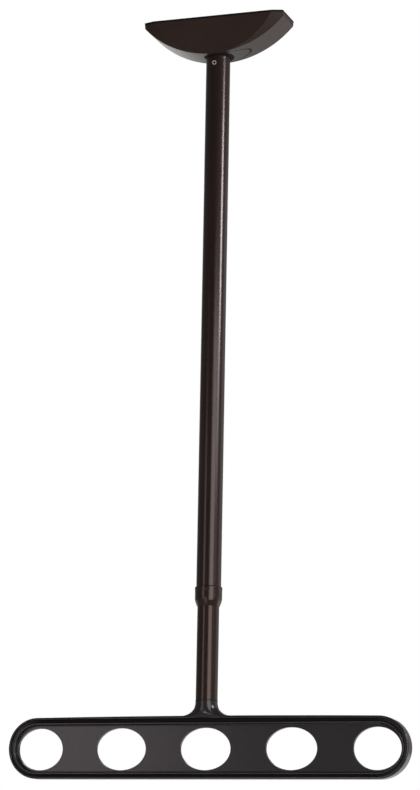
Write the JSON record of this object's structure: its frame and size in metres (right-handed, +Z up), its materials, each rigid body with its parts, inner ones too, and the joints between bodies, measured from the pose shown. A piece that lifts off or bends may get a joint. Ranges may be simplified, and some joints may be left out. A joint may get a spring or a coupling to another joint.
{
  "type": "ceiling laundry pole hanger",
  "caption": "Ceiling mounted telescopic hanger: half-moon base, bronze sliding tubes and a cast arm with oval holes for laundry poles.",
  "frame": {"origin": "on the ceiling plane at the pole's axis; the object hangs down along -Z", "axes": "+X along the arm and the base, towards the end with the slot cover; +Y to the rear; +Z up into the ceiling"},
  "size_m": [0.424, 0.0452, 0.7962],
  "materials": {
    "bronze_cast": "satin dark bronze paint on die-cast aluminium",
    "bronze_tube": "satin dark bronze anodised",
    "bronze_plastic": "moulded, fine grain",
    "black_rubber": "matt",
    "zinc_steel": "zinc plated",
    "bright_steel": "bright",
    "nylon": "moulded nylon"
  },
  "bodies": {
    "base": {"mounting_plate": "zinc_steel", "ceiling_gasket": "black_rubber", "base_cover": "bronze_cast", "cover_screws": "zinc_steel", "hanger_rail": "zinc_steel", "rail_rivets": "zinc_steel", "lock_screw": "zinc_steel", "pole_head": "zinc_steel", "head_rivet": "bright_steel", "entry_bush": "black_rubber", "outer_tube": "bronze_tube", "end_collar": "bronze_plastic"},
    "filler": {"slot_cover": "bronze_plastic"},
    "lock_slider": {"lock_cage": "nylon", "brake_shoes": "black_rubber", "shoe_band": "black_rubber"},
    "drop_arm": {"inner_tube": "bronze_tube", "core_pin": "zinc_steel", "cam_core": "zinc_steel", "lock_washer": "zinc_steel", "lock_bolt": "zinc_steel", "arm": "bronze_cast", "arm_set_screw": "zinc_steel"}
  },
  "joints": [
    {"name": "height_slide", "type": "slide", "parent": "base", "child": "lock_slider", "axis": [0, 0, -1], "range_m": [-0.09, 0.06]},
    {"name": "arm_turn", "type": "hinge", "parent": "lock_slider", "child": "drop_arm", "pos_m": [0, 0, -0.44], "axis": [0, 0, 1], "range_deg": [0, 90]},
    {"name": "slot_cover_pull", "type": "slide", "parent": "base", "child": "filler", "axis": [0, 0, -1], "range_m": [0, 0.03]}
  ]
}
